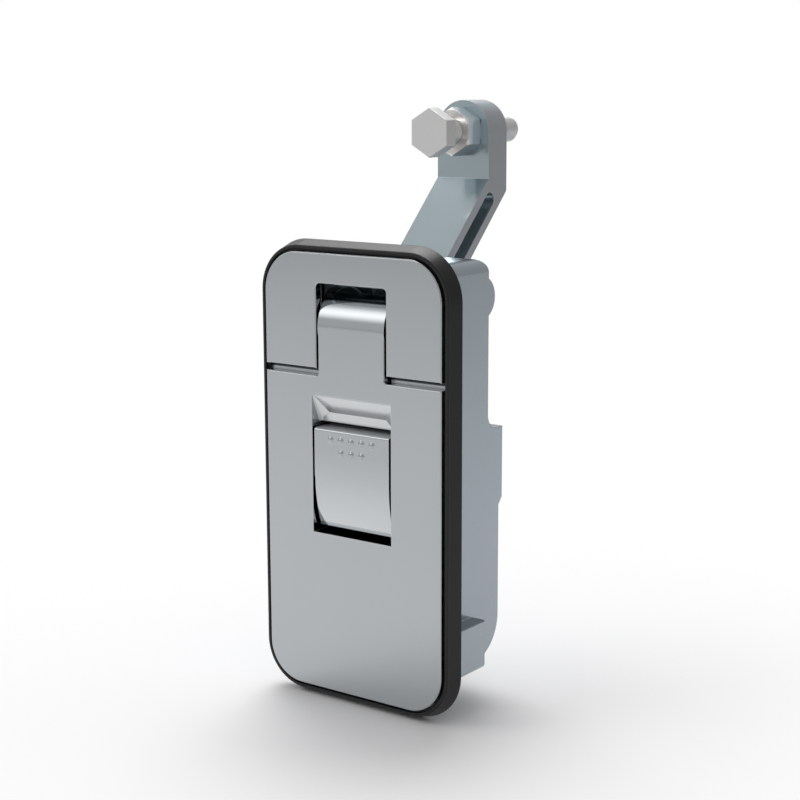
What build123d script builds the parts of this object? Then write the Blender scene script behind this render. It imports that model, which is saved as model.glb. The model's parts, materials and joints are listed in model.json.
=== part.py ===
from build123d import *
from math import sqrt
import os

# Lever compression latch with a trigger in its flush handle, sizes in millimetres.
# While it is drawn, X runs across the face, Y is the depth behind the front face and
# Z is the height above the lower edge of the face. The finished pieces are then moved
# so that the origin lies on the plane that seats on the door panel, at that lower edge.

# Face of the latch: fixed cover above, handle below
plate_width = 64.3
plate_height = 132.9
plate_corner = 12.0
plate_thick = 2.5
cover_height = 34.2
cover_seat = 0.2          # the cover is this much thicker, to reach the flange
split_gap = 2.1           # gap between the cover and the handle
edge_break = 0.3          # small bevel on the plates' front edges

# Bezel ring around the face
bezel_gap = 0.85          # dark gap between plates and ring
bezel_recess = 0.75       # ring sits this far behind the face
bezel_front = 1.95        # outer overhang at the front
bezel_back = 3.3          # outer overhang at the panel
bezel_lip = 0.7           # depth of the straight front part
bezel_nose = 0.6          # rounding of the front outer edge
bezel_ledge = 0.6         # thickness of the ledge that closes the gap
ledge_clear = 0.1

# Flange, gasket and tray of the housing
flange_thick = 1.9
flange_overhang = 1.2
gasket_thick = 1.1
tray_side_inset = 1.65
tray_end_inset = 2.5
tray_corner = 10.0
tray_depth = 8.3          # behind the flange
tray_wall = 2.2
cross_drop = 2.1          # the bar behind the gap hangs below the handle's shoulders

# Deep box of the housing, stepped at the back
box_side_inset = 5.4      # from the tray's sides
box_end_inset = 5.35      # from the tray's lower end
box_wall = 2.4
guide_cover = 3.0         # back wall behind the guide pin's axis
step_out = 7.9            # the lower part is this much deeper
step_drop = 51.4          # from the top of the box to the step
waist_step = 1.8
waist_drop = 22.1         # from the step down to the waist
waist_ramp = 2.2
heel_radius = 12.5
step_radius = 4.5
brow_radius = 4.0
shoulder_radius = 4.0
foot_length = 13.4        # behind the tray
foot_height = 14.75
foot_inside = 2.0         # the feet reach this far into the box
foot_round = 1.5
cheek_wall = 3.0          # inner walls that carry the pins
arm_opening_clear = 0.9
arm_opening_front = 2.7   # how far the opening cuts into the top

# Hinge and neck of the handle
hinge_drop = 21.9         # from the top of the face
neck_radius = 11.0        # the neck is a barrel about the hinge axis
neck_width = 24.2
neck_skin = 2.0
neck_skin_end = 115.0     # degrees round from the front, where the skin stops
neck_side_clear = 0.7
neck_top_clear = 1.9
neck_inner_round = 1.0
notch_corner = 1.2

# Stiffening rim and ribs behind the handle
rim_inset = 6.0
rim_drop = 3.6            # below the shoulders
rim_wall = 1.6
rim_depth = 4.5
rib_low = 18.0
rib_spacing = 14.0

# Recess for the trigger, with the finger scoop above it
recess_width = 29.1
recess_wall = 2.75
recess_depth = 9.0
recess_roof = 1.0
recess_clear = 2.1        # between the recess and the arm's eye
scoop_mouth = 10.0        # clear height above the trigger
scoop_depth = 3.3
scoop_roof = 5.6          # drop of the roof over that depth
scoop_lean = 0.4
scoop_over = 1.5          # the scoop stops this far above the trigger
scoop_hip = 4.1

# Trigger
trigger_gap = 0.8
trigger_foot_gap = 1.95
trigger_height = 30.1
trigger_straight = 16.9   # flat upper part of its face
trigger_tuck = 4.34       # depth of its lower edge
trigger_depth = 8.6
trigger_skin = 1.8
trigger_crown = 0.8
trigger_axis_depth = 7.0
trigger_axis_rise = 9.2
trigger_pin_radius = 1.5
bump_radius = 0.95
bump_height = 0.5
bump_pitch = 3.8
bump_below_top = 3.0
bump_row_gap = 3.75

# Hook on the trigger and the bar it catches
catch_radius = 2.0
catch_depth = 17.0
catch_drop = 4.9          # below the trigger's top
catch_rib = 2.5
catch_rib_nose = 1.5
catch_rib_gap = 2.0
hook_thick = 2.0
hook_width = 9.0
hook_lip = 3.3
hook_tab = 5.0
hook_boss = 1.8
hook_clear = 0.3
hook_screw_radius = 1.25
hook_screw_head = 2.05
hook_screw_dome = 1.2

# Linkage: crank pin in the handle, slotted arm, fixed guide pin
crank_below = 13.0        # below the hinge
crank_ahead = 0.4         # in front of the hinge
link_offset = 21.0        # the guide pin is this much behind and above the crank pin
hinge_pin_radius = 2.5
bush_wall = 1.0
running_clear = 0.05
side_clear = 0.3
guide_radius = 2.0
guide_boss_radius = 6.3
guide_bush_radius = 4.2
crank_lug_radius = 5.5

# Arm
arm_width = 19.16
arm_thick = 10.0
arm_rise = 26.05          # face for the lock nut, behind the guide pin
slot_clear = 0.3
slot_above = 37.8         # centres of the slot's ends, from the guide pin
slot_below = 3.0
bolt_rise = 47.5          # bolt axis above the guide pin

# Adjusting bolt and lock nut
hex_flats = 13.0
hex_bevel = 0.9
bolt_radius = 4.0
bolt_head = 4.95
bolt_shank = 40.0
bolt_point = 1.2
bolt_stand_off = 13.4     # clear length between the head and the arm
nut_thick = 6.6

# Small hardware
cover_screw_radius = 1.5
cover_screw_head = 2.8
cover_screw_dome = 1.8
cover_screw_margin = 4.4
cover_screw_rise = 4.8
cover_screw_bite = 1.7
buffer_radius = 2.0
buffer_rise = 20.0
buffer_clear = 0.1
buffer_socket = 0.8
buffer_fit = 0.02
bracket_hole_radius = 2.1
bracket_hole_depth = 9.0
bracket_boss_radius = 4.3
bracket_boss_extra = 2.0
bracket_upper_x = 20.0
bracket_upper_rise = 15.0
bracket_lower_x = 17.0
bracket_lower_rise = 22.15
spring_wire = 0.35        # radius
spring_turns = 5
spring_pitch = 0.9
spring_clear = 0.4
spring_start = 3.0
spring_upper_leg = 7.0
spring_lower_leg = 5.4
spring_seat = 0.1         # air between a leg and its seat
spring_seat_width = 2.0
bridge_thick = 2.0
bridge_height = 2.5
bridge_drop = 3.1         # top of the bridge below the trigger pin

# Places that follow from the sizes above
flange_front = plate_thick + cover_seat
flange_back = flange_front + flange_thick
bezel_depth = flange_back + gasket_thick
tray_back = flange_back + tray_depth
tray_floor = tray_back - tray_wall
tray_half = plate_width / 2 - tray_side_inset
tray_low = tray_end_inset
tray_high = plate_height - tray_end_inset
cover_low = plate_height - cover_height
handle_top = cover_low - split_gap
cross_low = handle_top - cross_drop
hinge_height = plate_height - hinge_drop
hinge_depth = neck_radius
crank_height = hinge_height - crank_below
crank_depth = hinge_depth - crank_ahead
guide_height = crank_height + link_offset
guide_depth = crank_depth + link_offset
upper_back = guide_depth + guide_cover
lower_back = upper_back + step_out
waist_back = lower_back - waist_step
box_half = tray_half - box_side_inset
box_bottom = tray_low + box_end_inset
box_top = tray_high
step_height = box_top - step_drop
foot_back = tray_back + foot_length
web_half = neck_width / 2
notch_half = web_half + neck_side_clear
notch_top = hinge_height + neck_radius + neck_top_clear
cheek_out = notch_half + cheek_wall
lug_in = arm_width / 2 + side_clear
recess_high = crank_height - arm_thick / 2 - recess_clear
recess_half = recess_width / 2
trigger_top = recess_high - scoop_mouth
trigger_low = trigger_top - trigger_height
trigger_half = recess_half - trigger_gap
trigger_bend = trigger_top - trigger_straight
trigger_axis_height = trigger_low + trigger_axis_rise
recess_low = trigger_low - trigger_foot_gap
scoop_mid = recess_high - scoop_roof
scoop_low = trigger_top + scoop_over
catch_height = trigger_top - catch_drop
hook_tip = catch_height - catch_radius - hook_clear
hook_low = hook_tip - hook_lip
hook_seat = trigger_skin + hook_boss
hook_screw_height = hook_low + hook_thick + hook_tab / 2
arm_front = guide_depth + arm_rise
arm_back = arm_front + arm_thick
arm_slant = arm_thick / sqrt(2)
bolt_height = guide_height + bolt_rise
slot_radius = guide_radius + slot_clear
spring_radius = trigger_pin_radius + spring_clear + spring_wire
spring_length = spring_pitch * spring_turns
bridge_top = trigger_axis_height - bridge_drop
to_panel = Pos(0, -bezel_depth, 0)


def front_slab(sketch, y0, y1):
    """Extrude a front-view sketch from depth y0 to depth y1."""
    return extrude(Plane.XZ.offset(-y1) * sketch, y1 - y0)


def side_slab(sketch, x0, x1):
    """Extrude a side-view sketch (depth, height) from x0 to x1."""
    return extrude(Plane.YZ.offset(x0) * sketch, x1 - x0)


def rod_across(radius, x0, x1, depth, height):
    return side_slab(Pos(depth, height) * Circle(radius), x0, x1)


def rod_deep(radius, y0, y1, x, height):
    return front_slab(Pos(x, height) * Circle(radius), y0, y1)


def rectangle(x0, x1, z0, z1):
    return Pos((x0 + x1) / 2, (z0 + z1) / 2) * Rectangle(x1 - x0, z1 - z0)


def face_outline(overhang):
    """Rounded outline that follows the face at a given overhang."""
    size = RectangleRounded(plate_width + 2 * overhang, plate_height + 2 * overhang,
                            plate_corner + overhang)
    return Pos(0, plate_height / 2) * size


def tray_outline(inset):
    size = RectangleRounded(2 * (tray_half - inset), tray_high - tray_low - 2 * inset,
                            tray_corner - inset)
    return Pos(0, plate_height / 2) * size


def rounded_corners(sketch, corners):
    """Fillet the sketch corners nearest to the given points."""
    for point, radius in corners:
        corner = sketch.vertices().sort_by_distance(Vector(*point, 0))[0]
        sketch = fillet(corner, radius)
    return sketch


def both_sides(piece):
    return piece + mirror(piece, about=Plane.YZ)


def bezel_frame():
    """Black ring that hides the flange, flared towards the panel."""
    straight_back = bezel_recess + bezel_lip
    front = front_slab(face_outline(bezel_front), bezel_recess, straight_back)
    nose = front.faces().sort_by(Axis.Y)[0].edges()
    front = fillet(nose, min(bezel_nose, 0.9 * bezel_lip))
    flare = loft([Plane.XZ.offset(-straight_back) * face_outline(bezel_front).face(),
                  Plane.XZ.offset(-bezel_depth) * face_outline(bezel_back).face()], ruled=True)
    seat = front_slab(face_outline(flange_overhang + running_clear), flange_front, bezel_depth)
    window = front_slab(face_outline(bezel_gap), 0, flange_front - bezel_ledge)
    ledge = front_slab(face_outline(ledge_clear), 0, flange_front)
    return front + flare - seat - window - ledge


def flange_gasket():
    """Flat seal between the flange and the panel."""
    outer = face_outline(flange_overhang)
    return front_slab(outer - tray_outline(-running_clear), flange_back, bezel_depth)


def box_profile(inset):
    """Side view of the deep box, stepped at the back with a round heel."""
    back = upper_back - inset
    low_back = lower_back - inset
    waist = waist_back - inset
    bottom = box_bottom + inset
    top = box_top - inset
    step = step_height - inset
    waist_high = step_height - waist_drop
    points = [(tray_floor, bottom), (waist, bottom), (waist, waist_high - waist_ramp),
              (low_back, waist_high), (low_back, step), (back, step), (back, top),
              (tray_floor, top)]
    corners = [((waist, bottom), heel_radius - inset), ((back, step), step_radius + inset),
               ((back, top), brow_radius - inset)]
    return rounded_corners(Polygon(*points, align=None), corners)


def box_front(inset):
    """Front view of the deep box, with round upper shoulders."""
    half = box_half - inset
    outline = rectangle(-half, half, box_bottom + inset, box_top - inset)
    radius = shoulder_radius - inset
    return rounded_corners(outline, [((-half, box_top), radius), ((half, box_top), radius)])


def box_block(inset):
    side = side_slab(box_profile(inset), -box_half + inset, box_half - inset)
    return side & front_slab(box_front(inset), 0, lower_back)


def foot():
    """Block beside the box that stiffens the lower corner."""
    low = rectangle(box_half - box_wall - foot_inside, tray_half,
                    box_bottom, box_bottom + foot_height)
    low = rounded_corners(low, [((tray_half, box_bottom), foot_round)])
    block = front_slab(low, tray_floor + tray_wall / 2, foot_back)
    rear = block.faces().sort_by(Axis.Y)[-1].edges().sort_by(Axis.Z)[0]
    return chamfer(rear, foot_round * 0.6)


def pin_wall():
    """Inner wall beside the neck, which holds the hinge and guide pins."""
    outline = rectangle(flange_front, upper_back, cross_low, box_top)
    outline = rounded_corners(outline, [((upper_back, box_top), brow_radius)])
    outline += Pos(guide_depth, guide_height) * Circle(guide_boss_radius)
    return side_slab(outline, notch_half, cheek_out)


def catch_gusset():
    """Gusset on the back wall that carries one end of the catch bar."""
    nose = catch_radius + catch_rib_nose
    back = lower_back - box_wall / 2
    inner = upper_back - box_wall / 2
    gusset = Polygon((catch_depth, catch_height - nose), (back, catch_height - 3 * nose),
                     (back, step_height - box_wall / 2), (inner, step_height - box_wall / 2),
                     (catch_depth, catch_height + nose), align=None)
    gusset += Pos(catch_depth, catch_height) * Circle(nose)
    start = hook_width / 2 + catch_rib_gap
    return side_slab(gusset, start, start + catch_rib)


def bracket_places():
    """Centre and rear depth of the four tapped holes for the clamping bracket."""
    upper_z = step_height + bracket_upper_rise
    lower_z = box_bottom + bracket_lower_rise
    upper = [(x, upper_z, upper_back) for x in (-bracket_upper_x, bracket_upper_x)]
    lower = [(x, lower_z, waist_back) for x in (-bracket_lower_x, bracket_lower_x)]
    return upper + lower


def cover_screw_places():
    across = (cheek_out + tray_half - tray_wall) / 2
    heights = (cover_low + cover_screw_rise, tray_high - tray_wall - cover_screw_margin)
    return [(x, z) for x in (-across, across) for z in heights]


def buffer_places():
    across = (box_half - box_wall + tray_half - tray_wall) / 2
    return [(-across, buffer_rise), (across, buffer_rise)]


def arm_window():
    """Space through the back and top of the box that the arm leaves by."""
    inside = upper_back - box_wall
    low = guide_height + (inside - guide_depth) - arm_slant - arm_opening_clear
    opening = rectangle(-notch_half, notch_half, low, box_top + 1)
    return front_slab(opening, inside - arm_opening_front, lower_back)


def housing():
    """Die-cast body: flange, shallow tray, deep stepped box, feet and pin walls."""
    inner_half = box_half - box_wall
    body = front_slab(face_outline(flange_overhang), flange_front, flange_back)
    body += front_slab(tray_outline(0), flange_back, tray_back)
    body += box_block(0)
    body -= box_block(box_wall)
    body -= front_slab(box_front(box_wall), flange_back, tray_back)
    body -= front_slab(tray_outline(tray_wall), flange_back, tray_floor)
    mouth = tray_outline(tray_wall) & rectangle(-tray_half, tray_half, 0, cross_low)
    body -= front_slab(mouth, flange_front - 1, flange_back + 1)
    body += both_sides(foot() + pin_wall() + catch_gusset())
    body += both_sides(rod_across(guide_boss_radius, inner_half, box_half,
                                  guide_depth, guide_height))
    for x, z, back in bracket_places():
        front = back - bracket_hole_depth - bracket_boss_extra
        body += rod_deep(bracket_boss_radius, front, back - box_wall / 2, x, z)
    neck_way = rectangle(-notch_half, notch_half, cross_low - 1, notch_top)
    body -= front_slab(neck_way, flange_front - 1, flange_back + 1)
    body -= arm_window()
    for x, z, back in bracket_places():
        body -= rod_deep(bracket_hole_radius, back - bracket_hole_depth, back + 1, x, z)
    for x, z in cover_screw_places():
        body -= rod_deep(cover_screw_radius, flange_front - 1, flange_back + 1, x, z)
    for x, z in buffer_places():
        body -= rod_deep(buffer_radius + buffer_fit, tray_floor - 1,
                         tray_floor + buffer_socket, x, z)
    body -= rod_across(hinge_pin_radius, -cheek_out, cheek_out, hinge_depth, hinge_height)
    body -= rod_across(guide_radius, -box_half - 1, box_half - box_wall / 2,
                       guide_depth, guide_height)
    body -= rod_across(catch_radius, -inner_half, inner_half, catch_depth, catch_height)
    return body


def cover_plate():
    """Fixed upper plate with the notch that the neck turns in."""
    upper = rectangle(-plate_width, plate_width, cover_low, plate_height + 1)
    notch = RectangleRounded(2 * notch_half, 2 * (notch_top - cover_low), notch_corner)
    outline = (face_outline(0) & upper) - Pos(0, cover_low) * notch
    plate = front_slab(outline, 0, flange_front)
    plate = chamfer(plate.faces().sort_by(Axis.Y)[0].edges(), edge_break)
    for x, z in cover_screw_places():
        plate -= rod_deep(cover_screw_radius, flange_front - cover_screw_bite,
                          flange_front + 1, x, z)
    return plate


def cover_screws():
    """Four pan-head screws that hold the cover from inside the housing."""
    screws = []
    for x, z in cover_screw_places():
        head = rod_deep(cover_screw_head, flange_back, flange_back + cover_screw_dome, x, z)
        head = fillet(head.faces().sort_by(Axis.Y)[-1].edges(), cover_screw_dome * 0.4)
        tip = flange_front - cover_screw_bite
        screws.append(head + rod_deep(cover_screw_radius, tip, flange_back, x, z))
    return Compound(screws)


def scoop_planes():
    """Slanted faces of the finger scoop: two hips, its roof and its back."""
    corner = Vector(-recess_half, 0, recess_high)
    low = Vector(-recess_half, scoop_depth, scoop_low)
    inner = Vector(-recess_half + scoop_hip, scoop_depth, scoop_mid)
    left = (inner - corner).cross(low - corner)
    right = Vector(-left.X, left.Y, left.Z)
    roof = Vector(0, scoop_roof, scoop_depth)
    back = Vector(0, scoop_mid - scoop_low, scoop_lean)
    return [(corner, left), (Vector(recess_half, 0, recess_high), right), (corner, roof),
            (Vector(0, scoop_depth, scoop_mid), back)]


def finger_scoop():
    deep = scoop_depth + scoop_lean
    space = front_slab(rectangle(-recess_half, recess_half, scoop_low, recess_high), 0, deep)
    for origin, normal in scoop_planes():
        space = split(space, bisect_by=Plane(origin, z_dir=normal), keep=Keep.BOTTOM)
    return space


def neck():
    """Barrel-shaped neck: two cheeks joined by a curved skin at the front."""
    barrel = Pos(hinge_depth, hinge_height) * Circle(neck_radius)
    lug = Pos(crank_depth, crank_height) * Circle(crank_lug_radius)
    low = recess_high + recess_roof
    web = Polygon((plate_thick / 2, hinge_height), (plate_thick / 2, low),
                  (crank_depth - crank_lug_radius / 2, low),
                  (crank_depth + crank_lug_radius, crank_height),
                  (hinge_depth + neck_radius, hinge_height), align=None)
    skin = barrel - Pos(hinge_depth, hinge_height) * Circle(neck_radius - neck_skin)
    skin &= rectangle(0, hinge_depth, hinge_height, hinge_height + neck_radius)
    beyond = Pos(hinge_depth, hinge_height) * Rot(0, 0, neck_skin_end)
    skin -= beyond * Pos(neck_radius, -neck_radius) * Rectangle(2 * neck_radius, 2 * neck_radius)
    cheek = side_slab(barrel + lug + web, lug_in, web_half)
    return both_sides(cheek) + side_slab(skin, -web_half, web_half)


def handle_plate():
    """Front plate of the handle, with the flat part of the neck."""
    lower = rectangle(-plate_width, plate_width, -1, handle_top)
    outline = (face_outline(0) & lower)
    outline += rectangle(-web_half, web_half, handle_top - 1, hinge_height)
    outline = rounded_corners(outline, [((-web_half, handle_top), neck_inner_round),
                                        ((web_half, handle_top), neck_inner_round)])
    plate = front_slab(outline, 0, plate_thick)
    front = plate.faces().sort_by(Axis.Y)[0].edges()
    top = front.sort_by(Axis.Z)[-1]
    return chamfer([edge for edge in front if edge != top], edge_break)


def stiffeners():
    """Rim and cross ribs behind the handle plate."""
    top = handle_top - rim_drop
    outer = face_outline(-rim_inset + rim_wall / 2)
    outer &= rectangle(-plate_width, plate_width, -1, top)
    inner = face_outline(-rim_inset - rim_wall / 2)
    inner &= rectangle(-plate_width, plate_width, -1, top - rim_wall)
    ribs = outer - inner
    reach = plate_width / 2 - rim_inset
    for z in (rib_low, rib_low + rib_spacing):
        ribs += rectangle(-reach, reach, z - rim_wall / 2, z + rim_wall / 2)
    return front_slab(ribs, plate_thick - edge_break, rim_depth)


def spring_bridge():
    """Bar behind the recess, with a nose that the spring's lower leg bears on."""
    half = recess_half + recess_wall
    bar = rectangle(-half, half, bridge_top - bridge_height, bridge_top)
    bridge = front_slab(bar, recess_depth, recess_depth + bridge_thick)
    nose = trigger_axis_depth - spring_radius + spring_wire + spring_seat
    end = spring_start + spring_length
    prong = rectangle(end - spring_seat_width / 2, end + spring_seat_width,
                      bridge_top - bridge_height, bridge_top)
    return bridge + front_slab(prong, nose, recess_depth + bridge_thick)


def handle():
    """Flush lever: face plate, stiffening rim, recess for trigger and finger, neck."""
    half = recess_half + recess_wall
    cup = front_slab(rectangle(-half, half, recess_low - recess_wall, recess_high + recess_roof),
                     plate_thick / 2, recess_depth)
    body = handle_plate() + neck() + stiffeners() + cup
    hole = rectangle(-recess_half, recess_half, recess_low, scoop_low)
    body -= front_slab(hole, -1, recess_depth + 1)
    body -= finger_scoop()
    body += spring_bridge()
    bush = hinge_pin_radius + running_clear + bush_wall
    body -= rod_across(bush, -web_half - 1, web_half + 1, hinge_depth, hinge_height)
    body -= rod_across(hinge_pin_radius, -web_half - 1, web_half + 1, crank_depth, crank_height)
    body -= rod_across(trigger_pin_radius, -half - 1, half + 1,
                       trigger_axis_depth, trigger_axis_height)
    return body


def hinge_bush(side):
    """Flush bearing bush in one cheek of the neck."""
    inner = hinge_pin_radius + running_clear
    ring = Circle(inner + bush_wall) - Circle(inner)
    ring = Pos(hinge_depth, hinge_height) * ring
    return side_slab(ring, *sorted((side * lug_in, side * web_half)))


def hinge_pin(side):
    """Short pin, pressed into a pin wall, that the neck turns on."""
    return rod_across(hinge_pin_radius, *sorted((side * lug_in, side * cheek_out)),
                      hinge_depth, hinge_height)


def guide_pin():
    """Fixed pin that the slotted arm slides and tilts on."""
    pin = rod_across(guide_radius, -box_half, box_half - box_wall / 2,
                     guide_depth, guide_height)
    return chamfer(pin.edges().filter_by(GeomType.CIRCLE), guide_radius * 0.15)


def guide_bush(side):
    """Spacer on the guide pin between the arm and a pin wall."""
    ring = Circle(guide_bush_radius) - Circle(guide_radius)
    ring = Pos(guide_depth, guide_height) * ring
    return side_slab(ring, *sorted((side * lug_in, side * notch_half)))


def catch_bar():
    half = hook_width / 2 + catch_rib_gap + catch_rib
    return rod_across(catch_radius, -half, half, catch_depth, catch_height)


def handle_buffers():
    """Rubber buffers in the tray floor that the closed handle rests on."""
    buffers = []
    for x, z in buffer_places():
        post = rod_deep(buffer_radius, rim_depth + buffer_clear, tray_floor + buffer_socket, x, z)
        buffers.append(fillet(post.faces().sort_by(Axis.Y)[0].edges(), buffer_radius * 0.35))
    return Compound(buffers)


def trigger_profile(inset):
    """Side view of the trigger: flat at the top and swept back at the bottom."""
    chord = trigger_bend - trigger_low
    radius = (trigger_tuck ** 2 + chord ** 2) / (2 * trigger_tuck)
    upper = rectangle(inset, trigger_depth, trigger_bend, trigger_top - inset)
    lower = rectangle(inset, trigger_depth, trigger_low, trigger_bend)
    return upper + (lower & (Pos(radius, trigger_bend) * Circle(radius - inset)))


def trigger_shell():
    body = side_slab(trigger_profile(0), -trigger_half, trigger_half)
    crown = body.edges().filter_by(Axis.X).sort_by_distance(Vector(0, 0, trigger_top))[0]
    body = fillet(crown, trigger_crown)
    inner = trigger_half - trigger_skin
    body -= side_slab(trigger_profile(trigger_skin), -inner, inner)
    return body


def grip_bumps():
    """Two rows of small domes at the top of the trigger."""
    dome = (bump_radius ** 2 + bump_height ** 2) / (2 * bump_height)
    bumps = []
    for row, count in ((0, 5), (1, 3)):
        z = trigger_top - bump_below_top - row * bump_row_gap
        for i in range(count):
            x = (i - (count - 1) / 2) * bump_pitch
            ball = Pos(x, dome - bump_height, z) * Sphere(dome)
            near = front_slab(Pos(x, z) * Circle(dome), -bump_height, trigger_skin / 2)
            bumps.append(ball & near)
    return bumps


def trigger():
    """Rocking button that frees the handle, with two rows of grip bumps."""
    body = trigger_shell()
    for place in (-hook_width / 4, hook_width / 4):
        body += rod_deep(hook_screw_head, trigger_skin * 0.8, hook_seat, place, hook_screw_height)
        body -= rod_deep(hook_screw_radius, trigger_skin, hook_seat + 1,
                         place, hook_screw_height)
    leg_top = trigger_axis_height + spring_upper_leg
    seat = rectangle(spring_start - spring_seat_width, spring_start + spring_seat_width / 2,
                     leg_top - 1.4 * spring_seat_width, leg_top - 0.4 * spring_seat_width)
    seat_face = trigger_axis_depth - spring_radius - spring_wire - spring_seat
    body += front_slab(seat, trigger_skin * 0.8, seat_face)
    body -= rod_across(trigger_pin_radius + running_clear, -trigger_half - 1, trigger_half + 1,
                       trigger_axis_depth, trigger_axis_height)
    for bump in grip_bumps():
        body += bump
    return body


def trigger_pin():
    half = recess_half + recess_wall
    return rod_across(trigger_pin_radius, -half, half, trigger_axis_depth, trigger_axis_height)


def trigger_spring():
    """Torsion spring round the trigger pin: one leg up the front, one down."""
    place = Pos(spring_start, trigger_axis_depth, trigger_axis_height) * Rot(90, 0, 0)
    coil_path = place * Helix(spring_pitch, spring_length, spring_radius, direction=(1, 0, 0))
    start = Plane(coil_path @ 0, z_dir=coil_path % 0)
    end = Plane(coil_path @ 1, z_dir=coil_path % 1)
    coil = sweep(start * Circle(spring_wire), path=coil_path)
    upper_leg = extrude(start * Circle(spring_wire), -spring_upper_leg)
    lower_leg = extrude(end * Circle(spring_wire), spring_lower_leg)
    return coil + upper_leg + lower_leg


def latch_hook():
    """Bent steel hook screwed to the back of the trigger."""
    back = catch_depth + catch_radius + hook_clear + hook_thick
    shelf = hook_low + hook_thick
    outline = Polygon((hook_seat, hook_low), (back, hook_low), (back, hook_tip),
                      (back - hook_thick, hook_tip), (back - hook_thick, shelf),
                      (hook_seat + hook_thick, shelf), (hook_seat + hook_thick, shelf + hook_tab),
                      (hook_seat, shelf + hook_tab), align=None)
    hook = side_slab(outline, -hook_width / 2, hook_width / 2)
    for place in (-hook_width / 4, hook_width / 4):
        hook -= rod_deep(hook_screw_radius, hook_seat - 1, hook_seat + hook_thick + 1,
                         place, hook_screw_height)
    return hook


def hook_screws():
    screws = []
    for x in (-hook_width / 4, hook_width / 4):
        seat = hook_seat + hook_thick
        head = rod_deep(hook_screw_head, seat, seat + hook_screw_dome, x, hook_screw_height)
        head = fillet(head.faces().sort_by(Axis.Y)[-1].edges(), hook_screw_dome * 0.4)
        shank = rod_deep(hook_screw_radius, trigger_skin, seat, x, hook_screw_height)
        screws.append(head + shank)
    return Compound(screws)


def crank_pin():
    """Pin through the lugs of the neck that carries the lower end of the arm."""
    return rod_across(hinge_pin_radius, -web_half, web_half, crank_depth, crank_height)


def arm_side():
    """Side view of the arm: upright head above a bar that slants at 45 degrees."""
    lean = guide_height - guide_depth
    front_knee = arm_front + lean + arm_slant
    back_knee = arm_back + lean - arm_slant
    half = arm_slant / 2
    side = Polygon((arm_front, bolt_height), (arm_front, front_knee),
                   (crank_depth - half, crank_height + half),
                   (crank_depth + half, crank_height - half),
                   (arm_back, back_knee), (arm_back, bolt_height), align=None)
    return side + Pos(crank_depth, crank_height) * Circle(arm_thick / 2)


def guide_slot():
    low = -slot_below / sqrt(2)
    high = slot_above / sqrt(2)
    middle = Pos(guide_depth + (low + high) / 2, guide_height + (low + high) / 2)
    return middle * Rot(0, 0, 45) * SlotCenterToCenter(slot_above + slot_below, 2 * slot_radius)


def cam_arm():
    """Cranked lever: round head for the bolt, long guide slot, eye at the lower end."""
    half = arm_width / 2
    arm = side_slab(arm_side(), -half, half)
    arm += rod_deep(half, arm_front, arm_back, 0, bolt_height)
    arm -= side_slab(guide_slot(), -half - 1, half + 1)
    arm -= rod_across(hinge_pin_radius + running_clear, -half - 1, half + 1,
                      crank_depth, crank_height)
    arm -= rod_deep(bolt_radius, arm_front - 1, arm_back + 1, 0, bolt_height)
    return arm


def hex_block(y0, y1, front_bevel, back_bevel):
    """Hexagon with its corners turned off at one or both ends."""
    hexagon = RegularPolygon(hex_flats / 2, 6, major_radius=False, rotation=30)
    block = front_slab(Pos(0, bolt_height) * hexagon, y0, y1)
    turned = rod_deep(hex_flats / sqrt(3), y0, y1, 0, bolt_height)
    ends = turned.edges().filter_by(GeomType.CIRCLE).sort_by(Axis.Y)
    if front_bevel:
        turned = chamfer(ends[0], front_bevel / 2, front_bevel)
    if back_bevel:
        ends = turned.edges().filter_by(GeomType.CIRCLE).sort_by(Axis.Y)
        turned = chamfer(ends[-1], back_bevel / 2, back_bevel)
    return block & turned


def adjusting_bolt():
    """Hexagon bolt, screwed through the head of the arm."""
    under = arm_front - bolt_stand_off
    shank = rod_deep(bolt_radius, under, under + bolt_shank, 0, bolt_height)
    shank = chamfer(shank.faces().sort_by(Axis.Y)[-1].edges(), bolt_point)
    return hex_block(under - bolt_head, under, 0, 0) + shank


def lock_nut():
    nut = hex_block(arm_front - nut_thick, arm_front, hex_bevel, hex_bevel)
    return nut - rod_deep(bolt_radius, arm_front - nut_thick - 1, arm_front + 1, 0, bolt_height)


pieces = {
    "bezel_frame": bezel_frame(),
    "flange_gasket": flange_gasket(),
    "housing": housing(),
    "cover_plate": cover_plate(),
    "cover_screws": cover_screws(),
    "hinge_pin_left": hinge_pin(-1),
    "hinge_pin_right": hinge_pin(1),
    "guide_pin": guide_pin(),
    "guide_bush_left": guide_bush(-1),
    "guide_bush_right": guide_bush(1),
    "catch_bar": catch_bar(),
    "handle_buffers": handle_buffers(),
    "handle": handle(),
    "hinge_bush_left": hinge_bush(-1),
    "hinge_bush_right": hinge_bush(1),
    "crank_pin": crank_pin(),
    "trigger_pin": trigger_pin(),
    "trigger": trigger(),
    "trigger_spring": trigger_spring(),
    "latch_hook": latch_hook(),
    "hook_screws": hook_screws(),
    "cam_arm": cam_arm(),
    "adjusting_bolt": adjusting_bolt(),
    "lock_nut": lock_nut(),
}

os.makedirs("parts", exist_ok=True)
for name, piece in pieces.items():
    solids = [to_panel * solid for solid in piece.solids()]
    export_step(Compound(solids), f"parts/{name}.step")
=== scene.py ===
import json
import math
import bmesh
import bpy
from mathutils import Matrix, Vector


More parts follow.
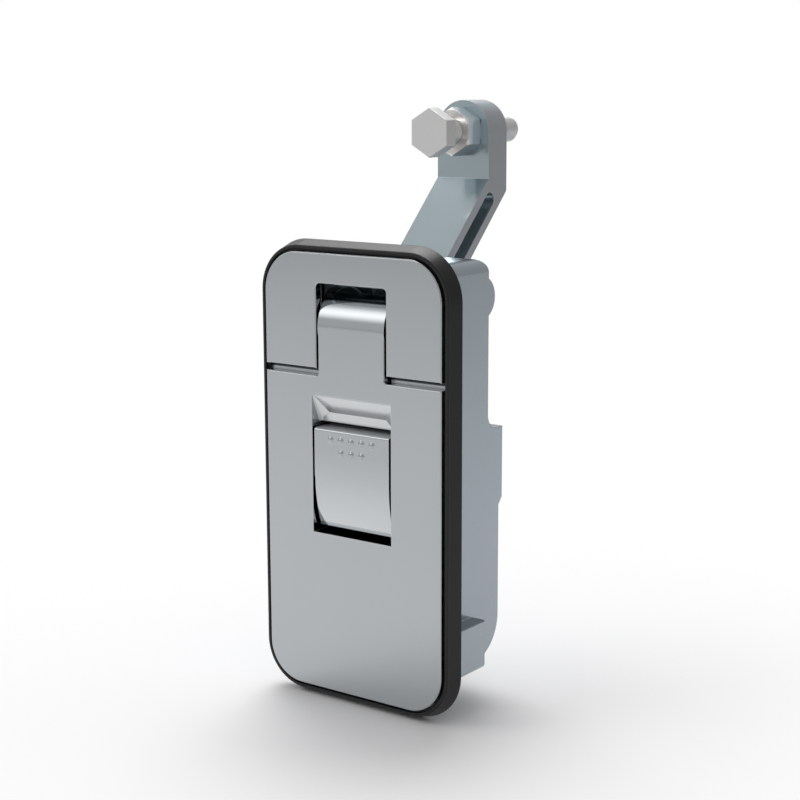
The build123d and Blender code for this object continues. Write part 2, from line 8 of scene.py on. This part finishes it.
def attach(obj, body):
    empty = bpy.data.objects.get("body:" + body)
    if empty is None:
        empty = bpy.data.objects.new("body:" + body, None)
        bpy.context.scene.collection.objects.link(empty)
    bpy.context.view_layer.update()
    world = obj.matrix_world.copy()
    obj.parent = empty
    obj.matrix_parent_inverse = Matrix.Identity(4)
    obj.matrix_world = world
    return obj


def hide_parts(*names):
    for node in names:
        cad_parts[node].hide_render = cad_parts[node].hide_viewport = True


mm = 0.001
panelDepth = 5.7  # the face's plane lies this far in front of the panel
tolerance = 0.001  # mm, for points and edges that should meet or lie flat
smoothAngle = 35
rodSegments = 48
edgeSegments = 2
bevelSamples = 6
narrowNoise = (0.3, 0.7)  # where most of a noise's values lie
wideNoise = (0.25, 0.75)

print("loading the packed latch")
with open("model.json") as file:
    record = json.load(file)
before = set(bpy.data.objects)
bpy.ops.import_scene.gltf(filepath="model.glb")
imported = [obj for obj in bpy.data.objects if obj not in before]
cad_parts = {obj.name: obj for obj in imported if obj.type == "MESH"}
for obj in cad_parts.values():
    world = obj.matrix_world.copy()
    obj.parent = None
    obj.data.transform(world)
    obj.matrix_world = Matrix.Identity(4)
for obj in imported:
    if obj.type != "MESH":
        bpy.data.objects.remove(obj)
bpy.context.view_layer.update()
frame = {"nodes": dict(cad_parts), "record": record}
cadNodes = frame["nodes"]
scene = bpy.context.scene
scene.view_settings.view_transform = "Standard"


# camera, at the angle of the photograph
cameraSettings = {
    "place": (297.70, -385.09, 181.65),
    "right": (0.8051, 0.5931, -0.0030),
    "up": (-0.1077, 0.1512, 0.9827),
    "lens": 75.84,
    "sensor": 36.0,
    "clip": (0.01, 50.0),
}


def addCamera(settings):
    data = bpy.data.cameras.new("photoCamera")
    data.lens = settings["lens"]
    data.sensor_width = settings["sensor"]
    data.sensor_fit = "HORIZONTAL"
    data.clip_start, data.clip_end = settings["clip"]
    camera = bpy.data.objects.new("photoCamera", data)
    scene.collection.objects.link(camera)
    right = Vector(settings["right"]).normalized()
    back = right.cross(Vector(settings["up"])).normalized()
    up = back.cross(right)
    turn = Matrix((right, up, back)).transposed().to_4x4()
    camera.matrix_world = Matrix.Translation(Vector(settings["place"]) * mm) @ turn
    scene.camera = camera


print("placing the camera")
addCamera(cameraSettings)


# shader node helpers
def startMaterial(name):
    material = bpy.data.materials.new(name)
    material.use_nodes = True
    nodes = material.node_tree.nodes
    shader = nodes["Principled BSDF"]
    coordinates = nodes.new("ShaderNodeTexCoord")
    return material, nodes, material.node_tree.links, shader, coordinates.outputs["Object"]


def addNoise(nodes, links, source, scale, detail=3.0, roughness=0.5):
    noise = nodes.new("ShaderNodeTexNoise")
    noise.inputs["Scale"].default_value = scale
    noise.inputs["Detail"].default_value = detail
    noise.inputs["Roughness"].default_value = roughness
    links.new(source, noise.inputs["Vector"])
    return noise.outputs["Fac"]


def addRange(nodes, links, source, low, high, fromLow=0.0, fromHigh=1.0):
    spread = nodes.new("ShaderNodeMapRange")
    spread.inputs["From Min"].default_value = fromLow
    spread.inputs["From Max"].default_value = fromHigh
    spread.inputs["To Min"].default_value = low
    spread.inputs["To Max"].default_value = high
    links.new(source, spread.inputs["Value"])
    return spread.outputs["Result"]


def addStep(nodes, links, source, outside, inside):
    # 0 to 1 between two places along an axis, in mm
    return addRange(nodes, links, source, 0.0, 1.0, outside * mm, inside * mm)


def addMix(nodes, links, factor, first, second):
    # mixes two colours, each a fixed one or another node's
    mix = nodes.new("ShaderNodeMix")
    mix.data_type = "RGBA"
    for socket, value in ((mix.inputs[6], first), (mix.inputs[7], second)):
        if isinstance(value, tuple):
            socket.default_value = (*value, 1.0)
        else:
            links.new(value, socket)
    links.new(factor, mix.inputs[0])
    return mix.outputs[2]


def addBlend(nodes, links, factor, first, second):
    # mixes a varying number with a fixed one
    blend = nodes.new("ShaderNodeMix")
    links.new(factor, blend.inputs[0])
    links.new(first, blend.inputs[2])
    blend.inputs[3].default_value = second
    return blend.outputs[0]


def addBump(nodes, links, source, strength, distance, normal):
    bump = nodes.new("ShaderNodeBump")
    bump.inputs["Strength"].default_value = strength
    bump.inputs["Distance"].default_value = distance
    links.new(source, bump.inputs["Height"])
    links.new(normal, bump.inputs["Normal"])
    return bump.outputs["Normal"]


def addRounding(nodes, links, radius):
    rounded = nodes.new("ShaderNodeBevel")
    rounded.samples = bevelSamples
    rounded.inputs["Radius"].default_value = radius
    return rounded.outputs["Normal"]


def addEdgeWear(nodes, links, rounded, width=0.35):
    # 0 on flat ground, rising to 1 on an edge
    geometry = nodes.new("ShaderNodeNewGeometry")
    dot = nodes.new("ShaderNodeVectorMath")
    dot.operation = "DOT_PRODUCT"
    links.new(rounded, dot.inputs[0])
    links.new(geometry.outputs["Normal"], dot.inputs[1])
    return addRange(nodes, links, dot.outputs["Value"], 1.0, 0.0, 1.0 - width, 1.0)


def addMultiply(nodes, links, first, second):
    product = nodes.new("ShaderNodeMath")
    product.operation = "MULTIPLY"
    links.new(first, product.inputs[0])
    links.new(second, product.inputs[1])
    return product.outputs[0]


def addAxis(nodes, links, place, axis):
    axes = nodes.new("ShaderNodeSeparateXYZ")
    links.new(place, axes.inputs[0])
    return axes.outputs[axis]


def addFacing(nodes, links, axis, low, high):
    # 0 to 1 as a surface turns towards one direction
    coordinates = nodes.new("ShaderNodeTexCoord")
    part = addAxis(nodes, links, coordinates.outputs["Normal"], axis)
    return addRange(nodes, links, part, 0.0, 1.0, low, high)


def addHollow(nodes, links, place, hollow):
    # 1 behind the face's plane, between two heights and within a half width
    depth = addAxis(nodes, links, place, "Y")
    height = addAxis(nodes, links, place, "Z")
    side = nodes.new("ShaderNodeMath")
    side.operation = "ABSOLUTE"
    links.new(addAxis(nodes, links, place, "X"), side.inputs[0])
    soft = hollow["soft"]
    behind = addStep(nodes, links, depth, hollow["front"], hollow["front"] + 2 * soft)
    above = addStep(nodes, links, height, hollow["low"] - soft, hollow["low"])
    below = addStep(nodes, links, height, hollow["high"] + soft, hollow["high"])
    within = addStep(nodes, links, side.outputs[0], hollow["half"] + soft, hollow["half"])
    return addMultiply(nodes, links, addMultiply(nodes, links, behind, within),
                       addMultiply(nodes, links, above, below))


def addPaintedLight(nodes, links, place, paintedLight, tint, metallic, roughness):
    # painted light: one part of the piece is given a paler, less metallic and rougher finish, so
    # that it shows painted light in place of what it would mirror
    if "facing" in paintedLight:
        share = addFacing(nodes, links, *paintedLight["facing"])
    else:
        share = addHollow(nodes, links, place, paintedLight)
    return (addMix(nodes, links, share, tint, paintedLight["tint"]),
            addBlend(nodes, links, share, metallic, paintedLight["metallic"]),
            addBlend(nodes, links, share, roughness, paintedLight["roughness"]))


def addPaintedGap(nodes, links, place, tint, paintedGap):
    # painted light on the flange's front: a paler tint, a painted highlight in the gap under the
    # cover, turning dark higher up, a painted shadow where the cover's edge shades it
    height = addAxis(nodes, links, place, "Z")
    shade = addStep(nodes, links, height, paintedGap["clear"], paintedGap["shaded"])
    gapPaint = addMix(nodes, links, shade, paintedGap["tint"], paintedGap["dark"])
    depth = addAxis(nodes, links, place, "Y")
    ahead = addStep(nodes, links, depth, paintedGap["to"], paintedGap["from"])
    return addMix(nodes, links, ahead, tint, gapPaint)


def addLowerSheen(nodes, links, place, tint, foot):
    # painted reflection: the lower part of the piece is paler, standing in for the brighter floor
    # that its curve mirrors
    height = addAxis(nodes, links, place, "Z")
    share = addStep(nodes, links, height, foot["high"], foot["low"])
    return addMix(nodes, links, share, tint, foot["tint"])


metalGrain = {
    "cloudDetail": 2.0, "patchRatio": 9, "patchDetail": 4.0, "patchRoughness": 0.65,
    "wear": 0.1, "wearMost": 0.8, "detail": 3.0, "roughness": 0.6, "depth": 0.02,
}


def metalFinish(name, settings):
    # plated metal: faint cloudiness, fine grain, rubbed brighter edges that catch the light, and
    # painted light and shade on some faces
    material, nodes, links, shader, place = startMaterial(name)
    cloud = addNoise(nodes, links, place, settings["cloudScale"], metalGrain["cloudDetail"])
    tint = addMix(nodes, links, cloud, settings["dark"], settings["light"])
    # painted light: faces turned towards one direction get a lighter or a darker tint, painted
    # highlights and painted shade
    for turned in settings.get("turned", ()):
        share = addFacing(nodes, links, *turned["facing"])
        tint = addMix(nodes, links, share, tint, turned["tint"])
    if "paintedGap" in settings:
        tint = addPaintedGap(nodes, links, place, tint, settings["paintedGap"])
    if "foot" in settings:
        tint = addLowerSheen(nodes, links, place, tint, settings["foot"])
    rounded = addRounding(nodes, links, settings["edgeRadius"])
    worn = addEdgeWear(nodes, links, rounded)
    breakUp = addNoise(nodes, links, place, settings["cloudScale"] * metalGrain["patchRatio"],
                       metalGrain["patchDetail"], metalGrain["patchRoughness"])
    wear = settings.get("wear", metalGrain["wear"])
    rubbed = addRange(nodes, links, breakUp, wear, metalGrain["wearMost"] + wear / 4, *narrowNoise)
    patchy = addMultiply(nodes, links, worn, rubbed)
    grain = addNoise(nodes, links, place, settings["grainScale"], metalGrain["detail"],
                     metalGrain["roughness"])
    roughness = addRange(nodes, links, grain, *settings["roughness"], *wideNoise)
    if "edgeMetal" in settings:
        # chrome: paler metal on its edges, and painted light on one part
        metallic = addRange(nodes, links, patchy, settings["metallic"], settings["edgeMetal"])
        tint, metallic, roughness = addPaintedLight(nodes, links, place, settings["paintedLight"], tint, metallic,
                                            roughness)
        links.new(metallic, shader.inputs["Metallic"])
    else:
        shader.inputs["Metallic"].default_value = settings["metallic"]
    links.new(addMix(nodes, links, patchy, tint, settings["edge"]), shader.inputs["Base Color"])
    links.new(roughness, shader.inputs["Roughness"])
    bump = addBump(nodes, links, grain, settings["bump"], metalGrain["depth"] * mm, rounded)
    links.new(bump, shader.inputs["Normal"])
    return material


plasticGrain = {"ior": 1.47, "dustScale": 90.0, "detail": 2.0, "depth": 0.03}


def plasticFinish(name, settings):
    # moulded plastic or rubber: fine texture and a little paler on its edges
    material, nodes, links, shader, place = startMaterial(name)
    shader.inputs["IOR"].default_value = plasticGrain["ior"]
    shader.inputs["Specular IOR Level"].default_value = settings["gloss"]
    rounded = addRounding(nodes, links, settings["edgeRadius"])
    worn = addEdgeWear(nodes, links, rounded)
    dust = addNoise(nodes, links, place, plasticGrain["dustScale"])
    tint = addMix(nodes, links, dust, settings["dark"], settings["light"])
    links.new(addMix(nodes, links, worn, tint, settings["edge"]), shader.inputs["Base Color"])
    spark = addNoise(nodes, links, place, settings["grainScale"], plasticGrain["detail"])
    roughness = addRange(nodes, links, spark, *settings["roughness"], *narrowNoise)
    links.new(roughness, shader.inputs["Roughness"])
    bump = addBump(nodes, links, spark, settings["bump"], plasticGrain["depth"] * mm, rounded)
    links.new(bump, shader.inputs["Normal"])
    return material


finishes = {
    "satinChrome": {
        "dark": (0.445, 0.465, 0.48), "light": (0.47, 0.49, 0.505), "edge": (0.86, 0.88, 0.90),
        # painted reflection: the finger scoop's hollow is paler and less metallic, standing in for
        # the bright surroundings its faces mirror
        "paintedLight": {"front": -5.5, "low": 82.0, "high": 91.2, "half": 15.5, "soft": 0.1,
                 "tint": (0.67, 0.685, 0.695), "metallic": 0.68, "roughness": 0.17},
        "metallic": 1.0, "cloudScale": 30.0, "edgeRadius": 0.00028, "wear": 0.7, "edgeMetal": 0.45,
        "grainScale": 2200.0, "roughness": (0.085, 0.10), "bump": 0.008,
    },
    "triggerChrome": {
        "dark": (0.435, 0.455, 0.47), "light": (0.455, 0.475, 0.49), "edge": (0.86, 0.88, 0.90),
        # painted reflection: the trigger turns paler towards the bottom of its curve
        "foot": {"tint": (0.60, 0.62, 0.635), "low": 52.0, "high": 74.0},
        # painted light: the trigger's upward-facing faces get a matt grey finish in place of
        # chrome, standing in for the dim light on its top
        "paintedLight": {"facing": ("Z", 0.75, 0.95), "tint": (0.38, 0.385, 0.40),
                 "metallic": 0.1, "roughness": 0.5},
        "metallic": 1.0, "cloudScale": 30.0, "edgeRadius": 0.00018, "wear": 0.7, "edgeMetal": 0.6,
        "grainScale": 2200.0, "roughness": (0.085, 0.10), "bump": 0.008,
    },
    "castZinc": {
        "dark": (0.355, 0.405, 0.44), "light": (0.385, 0.435, 0.47), "edge": (0.66, 0.72, 0.76),
        # painted highlight and painted shadow on the flange's front, seen through the gap under
        # the cover
        "paintedGap": {"tint": (0.50, 0.51, 0.53), "dark": (0.03, 0.03, 0.035),
                   "clear": 97.35, "shaded": 97.75, "from": -1.5, "to": -1.2},
        "metallic": 0.9, "cloudScale": 60.0, "edgeRadius": 0.00045,
        "grainScale": 1500.0, "roughness": (0.22, 0.28), "bump": 0.07,
    },
    "blueZinc": {
        "dark": (0.385, 0.455, 0.485), "light": (0.415, 0.49, 0.52), "edge": (0.70, 0.77, 0.80),
        # painted shade on faces turned towards +X, and a painted highlight on faces turned up
        "turned": ({"facing": ("X", 0.6, 0.8), "tint": (0.36, 0.375, 0.40)},
                   {"facing": ("Z", 0.85, 0.97), "tint": (0.60, 0.645, 0.665)}),
        "metallic": 0.78, "cloudScale": 70.0, "edgeRadius": 0.0003,
        "grainScale": 1800.0, "roughness": (0.15, 0.19), "bump": 0.02,
    },
    "nutZinc": {
        "dark": (0.60, 0.69, 0.725), "light": (0.64, 0.73, 0.765), "edge": (0.80, 0.84, 0.86),
        # painted highlight: the nut's front faces are paler and warmer than its sides
        "turned": ({"facing": ("Y", -0.25, -0.35), "tint": (0.76, 0.74, 0.72)},),
        "metallic": 0.75, "cloudScale": 70.0, "edgeRadius": 0.0002,
        "grainScale": 1800.0, "roughness": (0.15, 0.2), "bump": 0.02,
    },
    "paleZinc": {
        "dark": (0.68, 0.675, 0.67), "light": (0.71, 0.705, 0.70), "edge": (0.84, 0.83, 0.82),
        # painted shade: the bolt's faces turned towards +X are darker
        "turned": ({"facing": ("X", 0.4, 0.9), "tint": (0.55, 0.545, 0.545)},),
        "metallic": 0.7, "cloudScale": 80.0, "edgeRadius": 0.0002,
        "grainScale": 1100.0, "roughness": (0.28, 0.30), "bump": 0.002,
    },
    "platedSteel": {
        "dark": (0.5, 0.52, 0.54), "light": (0.56, 0.58, 0.6), "edge": (0.75, 0.77, 0.79),
        "metallic": 1.0, "cloudScale": 80.0, "edgeRadius": 0.0002,
        "grainScale": 1800.0, "roughness": (0.2, 0.28), "bump": 0.05,
    },
    "springWire": {
        "dark": (0.3, 0.31, 0.32), "light": (0.36, 0.37, 0.38), "edge": (0.5, 0.5, 0.5),
        "metallic": 1.0, "cloudScale": 200.0, "edgeRadius": 0.00005,
        "grainScale": 2500.0, "roughness": (0.25, 0.35), "bump": 0.05,
    },
}
plastics = {
    "blackPlastic": {
        "dark": (0.010, 0.010, 0.0105), "light": (0.014, 0.014, 0.0145),
        "edge": (0.03, 0.03, 0.032),
        "edgeRadius": 0.0003, "grainScale": 2600.0, "roughness": (0.32, 0.4),
        "bump": 0.15, "gloss": 0.35,
    },
    "sealRubber": {
        "dark": (0.012, 0.012, 0.012), "light": (0.02, 0.02, 0.02), "edge": (0.03, 0.03, 0.03),
        "edgeRadius": 0.0002, "grainScale": 1600.0, "roughness": (0.7, 0.85),
        "bump": 0.5, "gloss": 0.4,
    },
    "paleAcetal": {
        "dark": (0.68, 0.67, 0.63), "light": (0.74, 0.73, 0.69), "edge": (0.8, 0.79, 0.76),
        "edgeRadius": 0.0002, "grainScale": 1200.0, "roughness": (0.4, 0.5),
        "bump": 0.1, "gloss": 0.5,
    },
}

print("mixing the finishes")
materials = {name: metalFinish(name, settings) for name, settings in finishes.items()}
materials.update({name: plasticFinish(name, settings) for name, settings in plastics.items()})
slotNames = {
    "satin_chrome": "satinChrome", "zinc_body": "castZinc", "black_plastic": "blackPlastic",
    "seal_rubber": "sealRubber", "plated_steel": "platedSteel", "spring_steel": "springWire",
    "bearing_plastic": "paleAcetal", "blue_zinc_steel": "blueZinc", "pale_zinc_steel": "paleZinc",
}
for part in frame["record"]["subparts"]:
    for materialSlot in cadNodes[part["node"]].material_slots:
        materialSlot.material = materials[slotNames[part["material_slot"]]]
# the nut is bluer than the bolt and brighter than the arm
cadNodes["lock_nut"].material_slots[0].material = materials["nutZinc"]


# shared steps for the new pieces
def finishPiece(bm, name, finish, body, replaced):
    bmesh.ops.remove_doubles(bm, verts=bm.verts, dist=tolerance)
    bmesh.ops.scale(bm, vec=(mm, mm, mm), verts=bm.verts)
    bmesh.ops.translate(bm, vec=(0, -panelDepth * mm, 0), verts=bm.verts)
    mesh = bpy.data.meshes.new(name)
    bm.to_mesh(mesh)
    bm.free()
    piece = bpy.data.objects.new(name, mesh)
    scene.collection.objects.link(piece)
    mesh.materials.append(materials[finish])
    mesh.polygons.foreach_set("use_smooth", [True] * len(mesh.polygons))
    mesh.set_sharp_from_angle(angle=math.radians(smoothAngle))
    weighted = piece.modifiers.new("weighted", "WEIGHTED_NORMAL")
    weighted.keep_sharp = True
    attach(piece, body)
    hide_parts(replaced)


def bevelEdges(bm, edges, width, segments):
    bmesh.ops.bevel(bm, geom=edges, offset=width, segments=segments, profile=0.5,
                    affect="EDGES", material=-1)


def addRod(bm, radius, y0, y1, x, z, bevelWidth=0.15):
    # solid round bar along the depth of the latch
    turn = Matrix.Translation((x, (y0 + y1) / 2, z)) @ Matrix.Rotation(math.pi / 2, 4, "X")
    made = bmesh.ops.create_cone(bm, cap_ends=True, segments=rodSegments, radius1=radius,
                                 radius2=radius, depth=y1 - y0, matrix=turn)
    rims = {edge for vert in made["verts"] for edge in vert.link_edges
            if abs(edge.verts[0].co.y - edge.verts[1].co.y) < tolerance}
    bevelEdges(bm, list(rims), bevelWidth, edgeSegments)


# trigger: one swept-back front sheet given side walls, with two rows of domes
triggerForm = {
    "width": 27.5, "top": 80.9, "low": 50.8, "depth": 8.6, "wall": 1.8,
    "curveHeight": 15.2, "tuck": 2.57, "curveSteps": 24,
    "crown": 0.8, "crownSegments": 5, "crownShare": 0.9, "sideEdge": 0.25,
    "foldAngle": 60, "rearMargin": 1.0,
    "bumpRadius": 1.1, "bumpHeight": 0.49, "bumpSink": 0.5, "bumpSegments": (32, 24),
    "bumpPitch": 3.8, "bumpRows": ((5, 3.0), (3, 6.75)),
    "hookBoss": 3.6, "hookBossRadius": 2.05, "hookBossSpread": 2.25, "hookBossHeight": 74.9,
    "hookBossSink": 0.3,
}


def addTriggerShell(bm, form):
    # the front line runs straight down and then follows an arc
    bend = form["low"] + form["curveHeight"]
    radius = (form["tuck"] ** 2 + form["curveHeight"] ** 2) / (2 * form["tuck"])
    half = form["width"] / 2
    upper = bm.verts.new((-half, 0, form["top"]))
    lower = bm.verts.new((-half, 0, bend))
    bm.edges.new((upper, lower))
    bmesh.ops.spin(bm, geom=[lower], cent=(0, radius, bend), axis=(1, 0, 0),
                   angle=math.asin(form["curveHeight"] / radius), steps=form["curveSteps"])
    made = bmesh.ops.extrude_edge_only(bm, edges=bm.edges[:])
    across = [item for item in made["geom"] if isinstance(item, bmesh.types.BMVert)]
    bmesh.ops.translate(bm, vec=(form["width"], 0, 0), verts=across)
    # the sheet is drawn back to make the top and the sides
    made = bmesh.ops.extrude_face_region(bm, geom=bm.faces[:], use_keep_orig=True)
    rear = [item for item in made["geom"] if isinstance(item, bmesh.types.BMVert)]
    for vert in rear:
        vert.co.y = form["depth"]
    rearSet = set(rear)
    loose = [face for face in bm.faces if all(vert in rearSet for vert in face.verts)
             or all(vert.co.z < form["low"] + 10 * tolerance for vert in face.verts)]
    bmesh.ops.delete(bm, geom=loose, context="FACES_ONLY")
    bmesh.ops.remove_doubles(bm, verts=bm.verts, dist=tolerance)
    bmesh.ops.recalc_face_normals(bm, faces=bm.faces)
    front = [edge for edge in bm.edges if len(edge.link_faces) == 2
             and edge.calc_face_angle(0) > math.radians(form["foldAngle"])]
    longest = form["width"] * form["crownShare"]
    crown = [edge for edge in front if edge.calc_length() > longest]
    rearLimit = form["depth"] - form["rearMargin"]
    sides = [edge for edge in front if edge not in crown
             and all(vert.co.y < rearLimit for vert in edge.verts)]
    bevelEdges(bm, crown, form["crown"], form["crownSegments"])
    bevelEdges(bm, [edge for edge in sides if edge.is_valid], form["sideEdge"], edgeSegments)
    outer = bm.faces[:]
    bmesh.ops.recalc_face_normals(bm, faces=outer)
    bmesh.ops.solidify(bm, geom=outer, thickness=form["wall"])


def addDome(bm, form, x, z):
    radius = (form["bumpRadius"] ** 2 + form["bumpHeight"] ** 2) / (2 * form["bumpHeight"])
    place = Matrix.Translation((x, radius - form["bumpHeight"], z))
    around, along = form["bumpSegments"]
    made = bmesh.ops.create_uvsphere(bm, u_segments=around, v_segments=along, radius=radius,
                                     matrix=place @ Matrix.Rotation(math.pi / 2, 4, "X"))
    ball = {item for vert in made["verts"] for item in (vert, *vert.link_edges, *vert.link_faces)}
    cut = bmesh.ops.bisect_plane(bm, geom=list(ball), plane_co=(0, form["bumpSink"], 0),
                                 plane_no=(0, 1, 0), clear_outer=True)
    rim = [item for item in cut["geom_cut"] if isinstance(item, bmesh.types.BMEdge)]
    bmesh.ops.holes_fill(bm, edges=rim)


def buildTrigger(form):
    bm = bmesh.new()
    addTriggerShell(bm, form)
    for count, drop in form["bumpRows"]:
        for i in range(count):
            addDome(bm, form, (i - (count - 1) / 2) * form["bumpPitch"], form["top"] - drop)
    for side in (-1, 1):
        addRod(bm, form["hookBossRadius"], form["wall"] - form["hookBossSink"], form["hookBoss"],
               side * form["hookBossSpread"], form["hookBossHeight"])
    finishPiece(bm, "triggerButton", "triggerChrome", "trigger", "trigger")


print("making the trigger")
buildTrigger(triggerForm)


# adjusting bolt: hexagon head and a real helical thread
boltForm = {
    "height": 166.5, "under": 44.25, "head": 4.95, "flats": 13.0, "headEdge": 0.18,
    "shank": 40.0, "radius": 4.0, "threadDepth": 0.62, "pitch": 1.25, "neck": 1.2,
    "neckSink": 0.5, "neckOverlap": 0.3, "neckEdge": 0.05, "point": 1.1, "steps": 48,
}


def addThread(bm, form, start, end):
    # a stack of ridges turned once round the axis while it moves along by one pitch
    root, crest, pitch = form["radius"] - form["threadDepth"], form["radius"], form["pitch"]
    ridge = ((0.0, root), (0.14, root), (0.46, crest), (0.60, crest))
    first = start - 2 * pitch
    count = int((end - first) / pitch) + 2
    line = [bm.verts.new((away, first + (i + share) * pitch, form["height"]))
            for i in range(count) for share, away in ridge]
    line.append(bm.verts.new((root, first + count * pitch, form["height"])))
    edges = [bm.edges.new(pair) for pair in zip(line, line[1:])]
    bmesh.ops.spin(bm, geom=line + edges, cent=(0, 0, form["height"]), axis=(0, 1, 0),
                   dvec=(0, pitch / form["steps"], 0), angle=2 * math.pi, steps=form["steps"])
    bmesh.ops.remove_doubles(bm, verts=bm.verts, dist=2 * tolerance)
    for place, side in ((start, -1), (end, 1)):
        bmesh.ops.bisect_plane(bm, geom=bm.verts[:] + bm.edges[:] + bm.faces[:],
                               plane_co=(0, place, 0), plane_no=(0, side, 0), clear_outer=True)
    bmesh.ops.holes_fill(bm, edges=[edge for edge in bm.edges if edge.is_boundary])
    # the end is drawn in to a chamfer
    for vert in bm.verts:
        reach = Vector((vert.co.x, vert.co.z - form["height"]))
        limit = form["radius"] - max(0.0, vert.co.y - (end - form["point"]))
        if reach.length > limit:
            reach *= limit / reach.length
            vert.co.x, vert.co.z = reach.x, reach.y + form["height"]
    bmesh.ops.recalc_face_normals(bm, faces=bm.faces)


def addHexHead(bm, form):
    turn = Matrix.Translation((0, form["under"], form["height"]))
    turn = turn @ Matrix.Rotation(math.pi / 2, 4, "X")
    made = bmesh.ops.create_circle(bm, cap_ends=True, segments=6,
                                   radius=form["flats"] / math.sqrt(3), matrix=turn)
    face = next(iter({face for vert in made["verts"] for face in vert.link_faces}))
    drawn = bmesh.ops.extrude_face_region(bm, geom=[face], use_keep_orig=True)
    front = [item for item in drawn["geom"] if isinstance(item, bmesh.types.BMVert)]
    bmesh.ops.translate(bm, vec=(0, -form["head"], 0), verts=front)
    corners = {edge for vert in made["verts"] + front for edge in vert.link_edges}
    bevelEdges(bm, list(corners), form["headEdge"], edgeSegments)


def buildBolt(form):
    bm = bmesh.new()
    addThread(bm, form, form["under"] + form["neck"], form["under"] + form["shank"])
    addRod(bm, form["radius"] - form["threadDepth"] / 2, form["under"] - form["neckSink"],
           form["under"] + form["neck"] + form["neckOverlap"], 0, form["height"], form["neckEdge"])
    addHexHead(bm, form)
    bmesh.ops.recalc_face_normals(bm, faces=bm.faces)
    finishPiece(bm, "threadedBolt", "paleZinc", "arm", "adjusting_bolt")


print("cutting the bolt's thread")
buildBolt(boltForm)


# floor, lamps and world
studio = {
    "floorHeight": -3.3, "floorSize": 6.0, "floorColour": (0.80, 0.80, 0.805),
    "floorRoughness": 0.5, "lampAim": (0, 0.02, 0.07),
    "fadeCentre": (-0.018, 0.024, 0.0), "fadeFrom": 0.07, "fadeTo": 0.19,
    "worldMiddle": 0.55, "worldSpread": 0.17, "worldBright": (-0.93, -0.10, 0.35),
    "glow": 1.4, "glowEdge": 0.935, "glowPlace": (-0.62, -0.585, 0.525),
    "keyPlace": (-0.80, -0.62, 0.95), "keySize": 0.9, "keyPower": 2.5,
    "topPlace": (-0.30, 0.34, 0.80), "topSize": 0.6, "topPower": 5.3,
}


def floorFinish(settings):
    # pale floor that turns to plain white away from the latch
    material, nodes, links, shader, place = startMaterial("studioFloor")
    shader.inputs["Base Color"].default_value = (*settings["floorColour"], 1)
    shader.inputs["Roughness"].default_value = settings["floorRoughness"]
    distance = nodes.new("ShaderNodeVectorMath")
    distance.operation = "DISTANCE"
    distance.inputs[1].default_value = settings["fadeCentre"]
    links.new(place, distance.inputs[0])
    fade = addRange(nodes, links, distance.outputs["Value"], 0.0, 1.0,
                    settings["fadeFrom"], settings["fadeTo"])
    white = nodes.new("ShaderNodeEmission")
    seen = nodes.new("ShaderNodeLightPath")
    share = addMultiply(nodes, links, fade, seen.outputs["Is Camera Ray"])
    mix = nodes.new("ShaderNodeMixShader")
    links.new(share, mix.inputs[0])
    links.new(shader.outputs[0], mix.inputs[1])
    links.new(white.outputs[0], mix.inputs[2])
    links.new(mix.outputs[0], nodes["Material Output"].inputs["Surface"])
    return material


def addFloor(settings):
    mesh = bpy.data.meshes.new("studioFloor")
    bm = bmesh.new()
    bmesh.ops.create_grid(bm, x_segments=1, y_segments=1, size=settings["floorSize"] / 2)
    bm.to_mesh(mesh)
    bm.free()
    floor = bpy.data.objects.new("studioFloor", mesh)
    scene.collection.objects.link(floor)
    floor.location.z = settings["floorHeight"] * mm
    mesh.materials.append(floorFinish(settings))


def addLamp(name, place, size, power, aim):
    data = bpy.data.lights.new(name, "AREA")
    data.shape = "SQUARE"
    data.size = size
    data.energy = power
    lamp = bpy.data.objects.new(name, data)
    scene.collection.objects.link(lamp)
    lamp.location = place
    lamp.rotation_euler = (Vector(aim) - Vector(place)).to_track_quat("-Z", "Y").to_euler()
    return lamp


def addWorld(settings):
    # softly brighter towards the key lamp, and white behind the latch
    world = bpy.data.worlds.new("studioWorld")
    scene.world = world
    world.use_nodes = True
    nodes, links = world.node_tree.nodes, world.node_tree.links
    background = nodes["Background"]
    background.inputs["Color"].default_value = (1, 1, 1, 1)
    direction = nodes.new("ShaderNodeTexCoord")
    aims = []
    for aim in (settings["worldBright"], settings["glowPlace"]):
        towards = nodes.new("ShaderNodeVectorMath")
        towards.operation = "DOT_PRODUCT"
        towards.inputs[1].default_value = Vector(aim).normalized()
        links.new(direction.outputs["Generated"], towards.inputs[0])
        aims.append(towards.outputs["Value"])
    # the second aim's share is squared, so that the glow has a soft edge
    middle, spread = settings["worldMiddle"], settings["worldSpread"]
    slope = addRange(nodes, links, aims[0], middle - spread, middle + spread, -1.0, 1.0)
    spot = addRange(nodes, links, aims[1], 0.0, math.sqrt(settings["glow"]),
                    settings["glowEdge"], 1.0)
    whole = nodes.new("ShaderNodeMath")
    links.new(slope, whole.inputs[0])
    links.new(addMultiply(nodes, links, spot, spot), whole.inputs[1])
    seen = nodes.new("ShaderNodeLightPath")
    blend = nodes.new("ShaderNodeMix")
    links.new(seen.outputs["Is Camera Ray"], blend.inputs[0])
    links.new(whole.outputs[0], blend.inputs[2])
    blend.inputs[3].default_value = 1.0
    links.new(blend.outputs[0], background.inputs["Strength"])


print("setting up the floor and lamps")
addFloor(studio)
keyLamp = addLamp("keyLamp", studio["keyPlace"], studio["keySize"], studio["keyPower"],
                  studio["lampAim"])
keyLamp.visible_glossy = False  # the plating mirrors the world's glow instead
addLamp("topLamp", studio["topPlace"], studio["topSize"], studio["topPower"], studio["lampAim"])
addWorld(studio)
